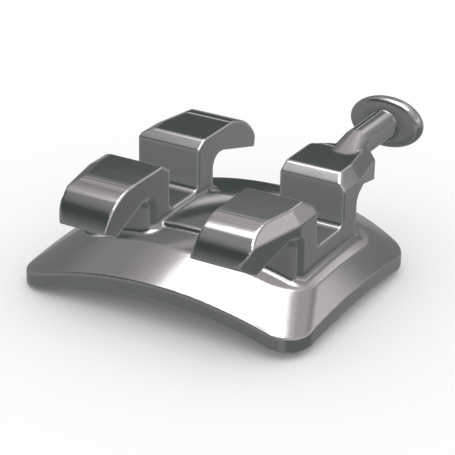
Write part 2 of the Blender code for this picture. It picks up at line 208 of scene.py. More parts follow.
class HookSizes(bpy.types.PropertyGroup):
    """Sizes of the hook and the wing that carries it."""
    setback: length("Setback", "Distance of the post's axis from the outer side", 0.37)
    wing_overhang: length("Wing overhang", "Reach of the hooked wing at its outer end", 0.57)
    wing_inner_overhang: length("Inner overhang", "Reach of the hooked wing at the channel", 0.20)
    wing_bulge: length("Bulge", "How far the hooked wing's edge stands out from a straight line", 0.07)
    neck_seat: length("Neck seat", "How far the neck starts inside the wing", 0.35)
    neck_length: length("Neck length", "Length over which the neck narrows to the post", 0.40)
    neck_width: length("Neck width", "Width of the neck where it starts", 0.36)
    neck_offset: length("Neck offset", "How far the neck's start is set over along the slot", 0.03)
    post_diameter: length("Post", "Diameter of the post", 0.32)
    post_drop: length("Post drop", "Depth of the post's axis under the wings' top", 0.05)
    post_length: length("Post length", "Length of the round post", 0.76)
    button_length: length("Button length", "Size of the button along the slot", 0.86)
    button_height: length("Button height", "Size of the button from top to bottom", 0.57)
    button_dome: length("Button dome", "Height of the button's dome", 0.18)
    button_back: length("Button back", "Thickness of the button's rim", 0.10)
    button_edge: length("Button edge", "Radius round the button's back", 0.08)


class SurfaceSettings(bpy.types.PropertyGroup):
    """How fine the skin is, how its steel is finished, and the highlights and shade painted into its
    colour.
    """
    grain: length("Grain", "Size of the skin's facets", 0.013)
    tumbling: IntProperty(name="Tumbling", description="Rounds of smoothing that ease the edges",
                          default=4, min=0)
    most_triangles: IntProperty(name="Most triangles", description="Triangles left in the skin",
                                default=190000, min=1)
    highlight_relief: length("Edge relief", "How far an edge stands out to be fully bright", 0.006)
    shade_and_dullness_relief: length("Recess relief", "How deep a recess lies to be fully dull", 0.03)
    steel: colour("Steel", "Colour of the polished steel", (0.520, 0.510, 0.512, 1.0))
    # The recess colour is painted shade: it darkens the steel where the surface lies deep among its
    # surroundings.
    recess: colour("Recess", "Colour where the tumbling media don't reach", (0.380, 0.385, 0.380, 1.0))
    # The edge colour is a painted highlight: it brightens the steel where an edge stands out.
    edge: colour("Edge", "Colour of the brightened edges", (0.85, 0.835, 0.84, 1.0))
    polish: share("Roughness", "Roughness of the open polished faces", 0.09)
    recess_roughness: share("Recess roughness", "Roughness in the recesses", 0.28)
    ripple: share("Ripple", "Strength of the faint ripple left by moulding and tumbling", 0.10)


class StudioSettings(bpy.types.PropertyGroup):
    """The floor, the light and the camera's place."""
    backdrop: colour("Backdrop", "Colour of the floor and the surroundings", (1.0, 1.0, 1.0, 1.0))
    black: colour("Black", "Darkest cloth of the tent, seen in the metal", (0.080, 0.102, 0.094, 1.0))
    dark: colour("Dark", "Dark cloth of the tent", (0.165, 0.185, 0.178, 1.0))
    grey: colour("Grey", "Middle cloth of the tent", (0.262, 0.275, 0.272, 1.0))
    dim: colour("Dim", "Paler cloth of the tent", (0.385, 0.385, 0.385, 1.0))
    pale: colour("Pale", "Pale cloth of the tent", (0.600, 0.560, 0.580, 1.0))
    bright: colour("Bright", "Cloth of the tent next to the lamp", (0.900, 0.870, 0.880, 1.0))
    lamp: FloatProperty(name="Lamp", description="Strength of the lamp in the tent's roof", default=2.6)
    tent_radius: length("Tent radius", "Distance from the bracket to the tent", 90.0)
    azimuth: angle("Azimuth", "How far the camera stands round to the right of the front", 29.5)
    elevation: angle("Elevation", "How far the camera stands above the horizon", 25.2)
    roll: angle("Roll", "How far the picture's upright leans to the right", 1.0)
    scale: FloatProperty(name="Scale", description="Pixels a millimetre at the middle of the wings' top",
                         default=97.0)
    focal: FloatProperty(name="Focal length", description="Focal length in pixels", default=2000.0)
    middle: FloatVectorProperty(name="Middle", description="Pixel that shows the middle of the wings' top",
                                default=(223.9, 163.0), size=2)


def sizes_of(scene):
    """Every size in millimetres and every angle in degrees, and what follows from them."""
    s = SimpleNamespace()
    for group in (scene.bracket_base, scene.bracket_twins, scene.bracket_hook):
        for name, prop in group.bl_rna.properties.items():
            if prop.type != "FLOAT":
                continue
            value = getattr(group, name)
            if prop.unit == "ROTATION":
                value = math.degrees(value)
            else:
                value /= MILLIMETRE
            setattr(s, name, value)
    s.wing_top = s.profile_height
    s.wing_ceiling = s.wing_top - s.root_thickness
    s.slot_floor = s.wing_top - s.slot_depth
    s.plateau_height = s.slot_floor - s.slot_floor_rise
    s.bridge_top = s.plateau_height + s.bridge_rise
    s.rim_thickness = s.plateau_height - s.flank_rise
    s.root_height = s.field_depth + ROOT_COVER
    s.half_slot = s.slot_height / 2
    s.half_channel = s.channel_length / 2
    s.half_plateau_length = s.half_length - s.flank_run_along
    s.half_plateau_width = s.half_width - s.flank_run_across
    s.half_span = s.half_plateau_length - s.plateau_margin_along
    s.wall_reach = s.half_plateau_width - s.plateau_margin_across
    s.half_tower = (s.half_span - s.half_channel) / 2
    s.tower_centre = s.half_span - s.half_tower
    s.wing_core = s.half_slot + CORE_SHARE * (s.wall_reach - s.half_slot)
    s.bend_start = s.wall_reach + s.wing_flat
    s.wing_reach = s.bend_start + s.bend_radius * math.sin(math.radians(s.bend_angle))
    return s


def add_object(name, data, matrix=Matrix()):
    data.transform(matrix)
    obj = bpy.data.objects.new(name, data)
    bpy.context.scene.collection.objects.link(obj)
    return obj


def evaluated_mesh(obj):
    graph = bpy.context.evaluated_depsgraph_get()
    return bpy.data.meshes.new_from_object(obj.evaluated_get(graph))


def bake(obj):
    mesh = evaluated_mesh(obj)
    obj.modifiers.clear()
    obj.data = mesh


def weld(mesh):
    edit = bmesh.new()
    edit.from_mesh(mesh)
    bmesh.ops.remove_doubles(edit, verts=edit.verts, dist=WELD_DISTANCE)
    bmesh.ops.recalc_face_normals(edit, faces=edit.faces)
    edit.to_mesh(mesh)
    edit.free()


def combine(target, tool, operation):
    """Unites, cuts or intersects the target with the tool, which is used up."""
    modifier = target.modifiers.new(operation.lower(), "BOOLEAN")
    modifier.operation = operation
    modifier.solver = "EXACT"
    modifier.object = tool
    bake(target)
    bpy.data.objects.remove(tool, do_unlink=True)


def arc(centre, radius, start, end, steps=CORNER_STEPS):
    """Points on an arc, with the angles in degrees."""
    points = []
    for step in range(steps + 1):
        turn = math.radians(start + (end - start) * step / steps)
        points.append((centre[0] + radius * math.cos(turn), centre[1] + radius * math.sin(turn)))
    return points


def bulging_arc(start, end, bulge, steps=CORNER_STEPS):
    """Points on the arc from start to end that stands out from their chord, to its right, by the bulge."""
    start, end = Vector(start), Vector(end)
    half = (end - start) / 2
    radius = (half.length_squared + bulge * bulge) / (2 * bulge)
    outward = Vector((half.y, -half.x)).normalized()
    centre = (start + end) / 2 - outward * (radius - bulge)
    half_angle = math.degrees(math.asin(half.length / radius))
    middle = math.degrees(math.atan2(outward.y, outward.x))
    return arc(centre, radius, middle - half_angle, middle + half_angle, steps)


def rounded_rectangle(half_x, half_y, radius, centre_x=0.0):
    points = []
    quarters = ((1, 1, 0), (-1, 1, 90), (-1, -1, 180), (1, -1, 270))
    for side_x, side_y, start in quarters:
        centre = (centre_x + side_x * (half_x - radius), side_y * (half_y - radius))
        points += arc(centre, radius, start, start + 90)
    return points


def pad_outline(s, half_x, half_y, radius, centre_x=0.0):
    """A rounded rectangle whose side at +Y bulges, as an arc about the middle of the bracket."""
    left, right = centre_x - half_x + radius, centre_x + half_x - radius
    between = s.rear_radius - radius
    middle = half_y + s.rear_bulge - s.rear_radius
    angles = [math.degrees(math.acos(x / between)) for x in (right, left)]
    rear = [middle + math.sqrt(between * between - x * x) for x in (right, left)]
    return [
        *arc((right, rear[0]), radius, 0, angles[0]),
        *arc((0, middle), s.rear_radius, angles[0], angles[1], BEND_STEPS)[1:-1],
        *arc((left, rear[1]), radius, angles[1], 180),
        *arc((left, radius - half_y), radius, 180, 270),
        *arc((right, radius - half_y), radius, 270, 360),
    ]


def at_height(outline, height):
    return [(x, y, height) for x, y in outline]


def box(name, low, high):
    """A box between two opposite corners."""
    low, high = Vector(low), Vector(high)
    edit = bmesh.new()
    bmesh.ops.create_cube(edit, size=1.0)
    mesh = bpy.data.meshes.new(name)
    edit.to_mesh(mesh)
    edit.free()
    place = Matrix.Translation((low + high) / 2) @ Matrix.Diagonal((*(high - low), 1))
    return add_object(name, mesh, place)


def loft(name, rings, matrix=Matrix()):
    """A closed solid through rings that all have the same number of points."""
    edit = bmesh.new()
    loops = [[edit.verts.new(point) for point in ring] for ring in rings]
    for lower, upper in zip(loops, loops[1:]):
        count = len(lower)
        for index in range(count):
            after = (index + 1) % count
            edit.faces.new((lower[index], lower[after], upper[after], upper[index]))
    edit.faces.new(list(reversed(loops[0])))
    edit.faces.new(loops[-1])
    bmesh.ops.recalc_face_normals(edit, faces=edit.faces)
    mesh = bpy.data.meshes.new(name)
    edit.to_mesh(mesh)
    edit.free()
    return add_object(name, mesh, matrix)


def extruded(name, outline, low, high, matrix=Matrix()):
    """A flat drawing of a closed outline, given a thickness from low to high."""
    return loft(name, [at_height(outline, low), at_height(outline, high)], matrix)


def turned(name, profile):
    """A profile of (radius, height) points from the top down, turned about Z."""
    mesh = bpy.data.meshes.new(name)
    points = [(radius, 0, height) for radius, height in profile]
    mesh.from_pydata(points, [(index, index + 1) for index in range(len(points) - 1)], [])
    solid = add_object(name, mesh)
    screw = solid.modifiers.new("turn", "SCREW")
    screw.steps = TURN_STEPS
    screw.render_steps = TURN_STEPS
    screw.use_merge_vertices = True
    screw.merge_threshold = WELD_DISTANCE
    bake(solid)
    weld(solid.data)
    return solid


def flat_pad(s):
    """Rim and sloping flanks, before they are curved."""
    rim = pad_outline(s, s.half_length, s.half_width, s.corner, s.offset)
    plateau = pad_outline(s, s.half_plateau_length, s.half_plateau_width, s.plateau_corner)
    foot = [at_height(rim, 0), at_height(rim, s.rim_thickness)]
    return loft("pad", [*foot, at_height(plateau, s.plateau_height)])


def flared_foot(s, centre_x):
    """The sweep from the walls of a tower out into the plateau."""
    rings = []
    for flare, rise in arc((s.foot_fillet, s.foot_fillet), s.foot_fillet, 270, 180, EDGE_STEPS):
        outline = rounded_rectangle(s.half_tower + flare, s.wall_reach + flare, s.wall_corner + flare,
                                    centre_x)
        rings.append(at_height(outline, s.plateau_height + rise))
    rings.insert(0, [(x, y, s.rim_thickness) for x, y, z in rings[0]])
    return loft("foot", rings)


def bridge(s):
    """The low bar that joins the towers under the archwire."""
    corner = (s.bridge_half_width - s.bridge_edge, s.bridge_top - s.bridge_edge)
    half = arc(corner, s.bridge_edge, 90, 0, EDGE_STEPS) + [(s.bridge_half_width, s.root_height)]
    outline = half + [(-y, z) for y, z in reversed(half)]
    reach = s.half_channel + s.wall_corner + OVERLAP
    return extruded("bridge", outline, -reach, reach, SECTION_ACROSS)


def crown_fall(s, x, y):
    """How far the crown of the tooth lies below its top."""
    return sag(x, s.crown_radius_along) + sag(y, s.crown_radius_across)


def sag(distance, radius):
    """How far a circle falls away from its top at a distance from its middle."""
    return radius - math.sqrt(radius * radius - distance * distance)


def curve_to_crown(base, s):
    """Slices the flat base into strips, and lets it sag with the crown of the tooth."""
    edit = bmesh.new()
    edit.from_mesh(base.data)
    strips = int(max(s.half_length, s.half_width) / CROWN_STRIP) + 1
    for direction in (Vector((1, 0, 0)), Vector((0, 1, 0))):
        for strip in range(-strips, strips):
            place = direction * (strip + 0.5) * CROWN_STRIP
            geometry = edit.verts[:] + edit.edges[:] + edit.faces[:]
            bmesh.ops.bisect_plane(edit, geom=geometry, dist=WELD_DISTANCE, plane_co=place,
                                   plane_no=direction)
    bmesh.ops.triangulate(edit, faces=edit.faces)
    for vertex in edit.verts:
        vertex.co.z -= crown_fall(s, vertex.co.x, vertex.co.y)
    edit.to_mesh(base.data)
    edit.free()


def maths(group, operation, first, second=None):
    """The outcome of one sum; each side is a number or another node's output."""
    node = group.nodes.new("ShaderNodeMath")
    node.operation = operation
    for side, value in zip(node.inputs, (first, second)):
        if isinstance(value, (int, float)):
            side.default_value = value
        elif value is not None:
            group.links.new(value, side)
    return node.outputs["Value"]


def node_sag(group, distance, radius):
    """How far a circle falls away from its top, as nodes."""
    squares = maths(group, "SUBTRACT", maths(group, "MULTIPLY", radius, radius),
                    maths(group, "MULTIPLY", distance, distance))
    return maths(group, "SUBTRACT", radius, maths(group, "SQRT", squares))


def peg_field():
    """Node group that stands round pegs on a grid of points and lets the grid sag with the crown."""
    group = bpy.data.node_groups.new("retention_pegs", "GeometryNodeTree")
    group.is_modifier = True
    group.interface.new_socket(name="Geometry", in_out="INPUT", socket_type="NodeSocketGeometry")
    for name in ("Peg diameter", "Peg length", "Crown along", "Crown across"):
        group.interface.new_socket(name=name, in_out="INPUT", socket_type="NodeSocketFloat")
    group.interface.new_socket(name="Material", in_out="INPUT", socket_type="NodeSocketMaterial")
    group.interface.new_socket(name="Geometry", in_out="OUTPUT", socket_type="NodeSocketGeometry")
    nodes, links = group.nodes, group.links
    given = nodes.new("NodeGroupInput").outputs
    place = nodes.new("ShaderNodeSeparateXYZ")
    links.new(nodes.new("GeometryNodeInputPosition").outputs["Position"], place.inputs["Vector"])
    fall = maths(group, "ADD", node_sag(group, place.outputs["X"], given["Crown along"]),
                 node_sag(group, place.outputs["Y"], given["Crown across"]))
    offset = nodes.new("ShaderNodeCombineXYZ")
    middle = maths(group, "DIVIDE", given["Peg length"], 2.0)
    links.new(maths(group, "SUBTRACT", middle, fall), offset.inputs["Z"])
    moved = nodes.new("GeometryNodeSetPosition")
    links.new(given["Geometry"], moved.inputs["Geometry"])
    links.new(offset.outputs["Vector"], moved.inputs["Offset"])
    peg = nodes.new("GeometryNodeMeshCylinder")
    peg.inputs["Vertices"].default_value = PEG_SIDES
    links.new(maths(group, "DIVIDE", given["Peg diameter"], 2.0), peg.inputs["Radius"])
    links.new(given["Peg length"], peg.inputs["Depth"])
    pegs = nodes.new("GeometryNodeInstanceOnPoints")
    links.new(moved.outputs["Geometry"], pegs.inputs["Points"])
    links.new(peg.outputs["Mesh"], pegs.inputs["Instance"])
    real = nodes.new("GeometryNodeRealizeInstances")
    links.new(pegs.outputs["Instances"], real.inputs["Geometry"])
    dressed = nodes.new("GeometryNodeSetMaterial")
    links.new(real.outputs["Geometry"], dressed.inputs["Geometry"])
    links.new(given["Material"], dressed.inputs["Material"])
    links.new(dressed.outputs["Geometry"], nodes.new("NodeGroupOutput").inputs["Geometry"])
    return group


def retention_pegs(s):
    """Rows of round pegs in the recess, each as long as the recess is deep."""
    columns = int((s.half_length - s.field_margin - s.peg_diameter) / s.peg_pitch)
    rows = int((s.half_width - s.field_margin - s.peg_diameter) / s.peg_pitch)
    grid = bpy.data.meshes.new("pegs")
    grid.from_pydata([(s.offset + column * s.peg_pitch, row * s.peg_pitch, 0)
                      for column in range(-columns, columns + 1) for row in range(-rows, rows + 1)], [], [])
    pegs = add_object("pegs", grid)
    field = pegs.modifiers.new("pegs", "NODES")
    field.node_group = peg_field()
    values = {
        "Peg diameter": s.peg_diameter,
        "Peg length": s.field_depth + OVERLAP,
        "Crown along": s.crown_radius_along,
        "Crown across": s.crown_radius_across,
    }
    for item in field.node_group.interface.items_tree:
        if item.name in values:
            field[item.identifier] = values[item.name]
    bake(pegs)
    return pegs


def bonding_base(s):
    base = flat_pad(s)
    for side in (-1, 1):
        combine(base, flared_foot(s, side * s.tower_centre), "UNION")
    combine(base, bridge(s), "UNION")
    inside = (s.half_length - s.field_margin, s.half_width - s.field_margin)
    field = pad_outline(s, *inside, s.field_corner, s.offset)
    combine(base, extruded("field", field, -OVERCUT, s.field_depth), "DIFFERENCE")
    curve_to_crown(base, s)
    combine(base, retention_pegs(s), "UNION")
    return base


def wing_section(s, tip_thickness, tip_lean):
    """Half of the wings' section, from the middle of the slot floor out to the tip and back."""
    centre = (s.bend_start, s.wing_top - s.bend_radius)
    outer = arc(centre, s.bend_radius, 90, 90 - s.bend_angle, BEND_STEPS)
    tip_y, tip_z = outer[-1]
    lean = math.radians(tip_lean)
    inner_tip = (tip_y - tip_thickness * math.sin(lean), tip_z - tip_thickness * math.cos(lean))
    return [
        (s.half_slot, s.slot_floor),
        (s.half_slot, s.wing_top - s.mouth_depth),
        (s.half_slot + s.mouth_width, s.wing_top),
        *outer,
        inner_tip,
        (s.wall_reach + s.undercut_radius, s.wing_ceiling),
        (s.wing_core, s.wing_ceiling),
        (s.wing_core, s.root_height),
    ]


def plain_quarter(s, side):
    """Plan of one wing, from the middle of its long outer side round its tip."""
    tip = side - s.taper
    return [
        (side, 0),
        (side, s.wall_reach),
        *arc((tip - s.plan_corner, s.wing_reach - s.plan_corner), s.plan_corner, 0, 90),
        (tip - s.plan_corner, s.wing_reach + OVERCUT),
    ]


def plan_outline(s, hook_inset, far_inset):
    """Plan of the four wings, with the long outer sides at +X and at -X moved in by an inset each."""
    side = s.half_span - hook_inset
    beside_hook = plain_quarter(s, side)
    opposite = plain_quarter(s, s.half_span - far_inset)
    hook_side = side - s.taper * s.wing_overhang / (s.wing_reach - s.plan_corner - s.wall_reach)
    outer_end = (hook_side, s.wall_reach + s.wing_overhang)
    inner_end = (s.half_channel - OVERLAP, s.wall_reach + s.wing_inner_overhang)
    outline = [
        (side, 0),
        (side, s.wall_reach),
        *bulging_arc(outer_end, inner_end, s.wing_bulge),
        (inner_end[0], s.wing_reach + OVERCUT),
    ]
    outline += [(-x, y) for x, y in reversed(opposite)]
    outline += [(-x, -y) for x, y in opposite[1:]]
    outline += [(x, -y) for x, y in reversed(beside_hook[1:])]
    return outline


def chamfered_plan(s):
    """Everything inside the plan, leaning inwards near the top to bevel the wings' outer sides."""
    rings = []
    for rise in (-s.wing_top - OVERCUT, -s.hook_side_depth, -s.far_side_depth, OVERLAP):
        hook_inset = max(0, s.chamfer_width * (1 + rise / s.hook_side_depth))
        far_inset = max(0, s.chamfer_width * (1 + rise / s.far_side_depth))
        rings.append(at_height(plan_outline(s, hook_inset, far_inset), s.wing_top + rise))
    return loft("plan", rings)


def tie_wings(s):
    """The four wings over the slot."""
    rear = wing_section(s, s.rear_tip, s.rear_tip_lean)
    front = wing_section(s, s.front_tip, s.front_tip_lean)
    outline = rear + [(-y, z) for y, z in reversed(front)]
    wings = extruded("wings", outline, -s.half_span - OVERLAP, s.half_span + OVERLAP, SECTION_ACROSS)
    combine(wings, chamfered_plan(s), "INTERSECT")
    far = s.wing_reach + OVERCUT
    channel = box("channel", (-s.half_channel, -far, -OVERCUT), (s.half_channel, far, s.wing_top + OVERCUT))
    combine(wings, channel, "DIFFERENCE")
    return wings


def tower(s, centre_x):
    """The upright walls of a tower, which sweep out into the undercut of its wings."""
    wall = rounded_rectangle(s.half_tower, s.wall_reach, s.wall_corner, centre_x)
    rings = [at_height(wall, s.root_height)]
    radius = s.undercut_radius
    for flare, height in arc((radius, s.wing_ceiling + BITE - radius), radius, 180, 90):
        outline = rounded_rectangle(s.half_tower, s.wall_reach + flare, s.wall_corner, centre_x)
        rings.append(at_height(outline, height))
    cap_reach = s.wall_reach + radius - OVERLAP
    cap = rounded_rectangle(s.half_tower - OVERLAP, cap_reach, s.wall_corner, centre_x)
    rings.append(at_height(cap, s.wing_ceiling + OVERLAP))
    return loft("tower", rings)


def twins(s):
    """Both towers with their wings, cut through by the slot."""
    block = tie_wings(s)
    for side in (-1, 1):
        combine(block, tower(s, side * s.tower_centre), "UNION")
    corner = (s.half_slot - s.slot_corner, s.slot_floor + s.slot_corner)
    half = [(s.half_slot, s.wing_top + OVERCUT), *arc(corner, s.slot_corner, 0, -90, EDGE_STEPS)]
    outline = half + [(-y, z) for y, z in reversed(half)]
    far = s.half_span + OVERCUT
    combine(block, extruded("slot", outline, -far, far, SECTION_ACROSS), "DIFFERENCE")
    return block


def button(s):
    """A flat-backed dome, turned and then stretched along X."""
    radius = s.button_height / 2
    dome = [(radius * x, s.button_dome * z) for x, z in arc((0, 0), 1, 90, 0, BEND_STEPS)]
    edge = arc((radius - s.button_edge, s.button_edge - s.button_back), s.button_edge, 0, -90, EDGE_STEPS)
    solid = turned("button", [*dome, *edge, (0, -s.button_back)])
    solid.data.transform(Matrix.Diagonal((s.button_length / s.button_height, 1, 1, 1)))
    return solid


def hook(s):
    """The button on a round post, which sinks into the wing. It is drawn along Z and then laid down."""
    radius = s.post_diameter / 2
    button_height = s.neck_length + s.post_length
    rings = []
    circle = arc((0, 0), 1, 0, 360, TURN_STEPS)[:-1]
    root = (0, s.neck_width / 2, s.post_drop + BITE, s.neck_offset)
    for height, half_width, half_height, offset in (root, (s.neck_length, radius, radius, 0),
                                                    (button_height, radius, radius, 0)):
        rings.append([(offset + half_width * x, half_height * y, height) for x, y in circle])
    post = loft("post", rings)
    head = button(s)
    head.data.transform(Matrix.Translation((0, 0, button_height)))
    combine(post, head, "UNION")
    seat_y = s.wall_reach + s.wing_overhang - s.neck_seat
    seat = Vector((s.half_span - s.setback, seat_y, s.wing_top - s.post_drop))
    post.data.transform(Matrix.Translation(seat) @ Matrix.Rotation(math.radians(-90), 4, "X"))
    return post


def skin_of(solid, surface):
    """Gives the sharp solid one even skin, eases its edges as tumbling does, and thins what is flat."""
    remesh = solid.modifiers.new("skin", "REMESH")
    remesh.mode = "VOXEL"
    remesh.voxel_size = surface.grain / MILLIMETRE
    smooth = solid.modifiers.new("tumbling", "SMOOTH")
    smooth.factor = 0.5
    smooth.iterations = surface.tumbling
    bake(solid)
    mark_relief(solid.data, surface.highlight_relief / MILLIMETRE, surface.shade_and_dullness_relief / MILLIMETRE)
    triangles = sum(len(face.vertices) - 2 for face in solid.data.polygons)
    solid.data.shade_smooth()
    thinning = solid.modifiers.new("thinning", "DECIMATE")
    thinning.ratio = min(1.0, surface.most_triangles / triangles)
    flatness = solid.modifiers.new("flatness", "WEIGHTED_NORMAL")
    flatness.keep_sharp = True
    bake(solid)


def neighbour_sums(edges, values, count):
    """For each point, the sum of its neighbours' values."""
    total = np.zeros((count, values.shape[1]))
    for column in range(values.shape[1]):
        total[:, column] = np.bincount(edges[:, 0], values[edges[:, 1], column], count)
        total[:, column] += np.bincount(edges[:, 1], values[edges[:, 0], column], count)
    return total


def relaxed(edges, values, rounds):
    """The values after so many rounds of moving halfway to the neighbours' mean."""
    count = len(values)
    degree = np.bincount(edges.ravel(), minlength=count)[:, None]
    for _ in range(rounds):
        values = (values + neighbour_sums(edges, values, count) / degree) / 2
    return values


def mark_relief(mesh, highlight_depth, shade_and_dullness_depth):
    """Stores how far each point stands out, for painted highlights, and how deep it lies in its
    surroundings, for painted shade and a duller polish, from 0 to 1.
    """
    count = len(mesh.vertices)
    points = np.zeros(count * 3, np.float32)
    normals = np.zeros(count * 3, np.float32)
    ends = np.zeros(len(mesh.edges) * 2, np.int32)
    mesh.vertices.foreach_get("co", points)
    mesh.vertex_normals.foreach_get("vector", normals)
    mesh.edges.foreach_get("vertices", ends)
    points, normals, ends = points.reshape(-1, 3).astype(float), normals.reshape(-1, 3), ends.reshape(-1, 2)
    near = relaxed(ends, points, EDGE_ROUNDS)
    far = relaxed(ends, near, RECESS_ROUNDS)
    stands_out = ((points - near) * normals).sum(1, keepdims=True)
    lies_deep = ((far - points) * normals).sum(1, keepdims=True)
    # The edge layer paints highlights; the recess layer paints shade and makes the polish duller.
    for name, depth, full in (("edge", stands_out, highlight_depth), ("recess", lies_deep, shade_and_dullness_depth)):
        mask = relaxed(ends, np.clip(depth / full, 0, 1), MASK_ROUNDS)
        layer = mesh.attributes.new(name, "FLOAT", "POINT")
        layer.data.foreach_set("value", mask.ravel().astype(np.float32))


def polished_steel(surface):
    """Tumbled stainless steel, with painted highlights along its edges and painted shade in its recesses,
    which are also duller where tumbling doesn't reach.
    """
    material = bpy.data.materials.new("polished_steel")
    material.use_nodes = True
    nodes, links = material.node_tree.nodes, material.node_tree.links
    shader = nodes["Principled BSDF"]
    shader.inputs["Metallic"].default_value = 1.0

    def node(kind, **settings):
        made = nodes.new(kind)
        for name, value in settings.items():
            setattr(made, name, value)
        return made

    place = node("ShaderNodeTexCoord").outputs["Object"]
    # Masks for the painted highlights along edges and the painted shade in recesses.
    edge = node("ShaderNodeAttribute", attribute_name="edge").outputs["Fac"]
    recess = node("ShaderNodeAttribute", attribute_name="recess").outputs["Fac"]

    cloud = node("ShaderNodeTexNoise")
    cloud.inputs["Scale"].default_value = CLOUDS
    cloud.inputs["Detail"].default_value = CLOUD_DETAIL
    links.new(place, cloud.inputs["Vector"])

    # Painted shade: the darker recess colour where the surface lies deep.
    body = node("ShaderNodeMix", data_type="RGBA")
    body.inputs["A"].default_value = surface.steel
    body.inputs["B"].default_value = surface.recess
    links.new(recess, body.inputs["Factor"])
    # Painted highlight: the brighter edge colour where an edge stands out.
    bright = node("ShaderNodeMix", data_type="RGBA")
    bright.inputs["B"].default_value = surface.edge
    links.new(edge, bright.inputs["Factor"])
    links.new(body.outputs["Result"], bright.inputs["A"])
    links.new(bright.outputs["Result"], shader.inputs["Base Color"])

    dull = node("ShaderNodeMapRange")
    dull.inputs["To Min"].default_value = surface.polish
    dull.inputs["To Max"].default_value = surface.recess_roughness
    links.new(recess, dull.inputs["Value"])
    cloudy = node("ShaderNodeMapRange")
    cloudy.inputs["To Min"].default_value = 1 - CLOUD_CHANGE
    cloudy.inputs["To Max"].default_value = 1 + CLOUD_CHANGE
    links.new(cloud.outputs["Fac"], cloudy.inputs["Value"])
    rough = node("ShaderNodeMath", operation="MULTIPLY")
    links.new(dull.outputs["Result"], rough.inputs[0])
    links.new(cloudy.outputs["Result"], rough.inputs[1])
    links.new(rough.outputs["Value"], shader.inputs["Roughness"])

    ripple = node("ShaderNodeTexNoise")
    ripple.inputs["Scale"].default_value = RIPPLES
    ripple.inputs["Detail"].default_value = RIPPLE_DETAIL
    links.new(place, ripple.inputs["Vector"])
    bump = node("ShaderNodeBump")
    bump.inputs["Strength"].default_value = surface.ripple
    bump.inputs["Distance"].default_value = RIPPLE_DEPTH
    links.new(ripple.outputs["Fac"], bump.inputs["Height"])
    links.new(bump.outputs["Normal"], shader.inputs["Normal"])
    return material


def tone_of(studio, name):
    return [studio.lamp] * 3 + [1.0] if name == "lamp" else getattr(studio, name)


def rising_tones(group, studio, elevation, stops):
    """A tone that changes with the height over the horizon, through stops of degrees and a tone's name."""
    ramp = group.nodes.new("ShaderNodeValToRGB")
    group.links.new(maths(group, "DIVIDE", maths(group, "ADD", elevation, 90.0), 180.0), ramp.inputs["Fac"])
    elements = ramp.color_ramp.elements
    elements.remove(elements[1])
    for number, (degrees, name) in enumerate(stops):
        position = (degrees + 90) / 180
        element = elements.new(position) if number else elements[0]
        element.position = position
        element.color = tone_of(studio, name)
    return ramp.outputs["Color"]


def sector(group, level, azimuth, half_width, edge):
    """1 inside a sector of directions, seen from above, and 0 outside it; angles are in degrees."""
    turn = math.radians(azimuth)
    toward = maths(group, "ADD", maths(group, "MULTIPLY", level[0], math.sin(turn)),
                   maths(group, "MULTIPLY", level[1], math.cos(turn)))
    inside = group.nodes.new("ShaderNodeMapRange")
    inside.interpolation_type = "SMOOTHSTEP"
    group.links.new(toward, inside.inputs["Value"])
    inside.inputs["From Min"].default_value = math.cos(math.radians(half_width + edge / 2))
    inside.inputs["From Max"].default_value = math.cos(math.radians(half_width - edge / 2))
    return inside.outputs["Result"]


def mixed(group, share_of_second, first, second):
    """One colour blended into another."""
    mix = group.nodes.new("ShaderNodeMix")
    mix.data_type = "RGBA"
    group.links.new(share_of_second, mix.inputs["Factor"])
    group.links.new(first, mix.inputs["A"])
    group.links.new(second, mix.inputs["B"])
    return mix.outputs["Result"]


def tent_cloth(studio):
    """Cloths in greys that the metal reflects, dark towards the horizon and lit towards the roof."""
    material = bpy.data.materials.new("tent")
    material.use_nodes = True
    tree = material.node_tree
    tree.nodes.remove(tree.nodes["Principled BSDF"])
    way = tree.nodes.new("ShaderNodeVectorMath")
    way.operation = "NORMALIZE"
    tree.links.new(tree.nodes.new("ShaderNodeTexCoord").outputs["Object"], way.inputs[0])
    parts = tree.nodes.new("ShaderNodeSeparateXYZ")
    tree.links.new(way.outputs["Vector"], parts.inputs["Vector"])
    x, y, z = (parts.outputs[axis] for axis in "XYZ")
    squares = [maths(tree, "MULTIPLY", part, part) for part in (x, y)]
    across = maths(tree, "SQRT", maths(tree, "ADD", *squares))
    level = [maths(tree, "DIVIDE", part, across) for part in (x, y)]
    elevation = maths(tree, "DEGREES", maths(tree, "ARCSINE", z))
    tone = rising_tones(tree, studio, elevation, TENT_CLOTH)
    for azimuth, half_width, edge, stops in TENT_SECTORS:
        inside = sector(tree, level, azimuth, half_width, edge)
        tone = mixed(tree, inside, tone, rising_tones(tree, studio, elevation, stops))
    roof = rising_tones(tree, studio, elevation, ROOF_CLOTH)
    tone = mixed(tree, maths(tree, "GREATER_THAN", elevation, ROOF_EDGE), tone, roof)
    glow = tree.nodes.new("ShaderNodeEmission")
    tree.links.new(tone, glow.inputs["Color"])
    tree.links.new(glow.outputs["Emission"], tree.nodes["Material Output"].inputs["Surface"])
    return material


def tent(studio):
    """The globe of cloths round the bracket, which only the metal sees."""
    edit = bmesh.new()
    around, upwards = TENT_SEGMENTS
    bmesh.ops.create_uvsphere(edit, u_segments=around, v_segments=upwards, radius=studio.tent_radius)
    mesh = bpy.data.meshes.new("tent")
    edit.to_mesh(mesh)
    edit.free()
    mesh.materials.append(tent_cloth(studio))
    globe = bpy.data.objects.new("tent", mesh)
    bpy.context.scene.collection.objects.link(globe)
    globe.visible_camera = False
    globe.visible_diffuse = False
    globe.visible_shadow = False


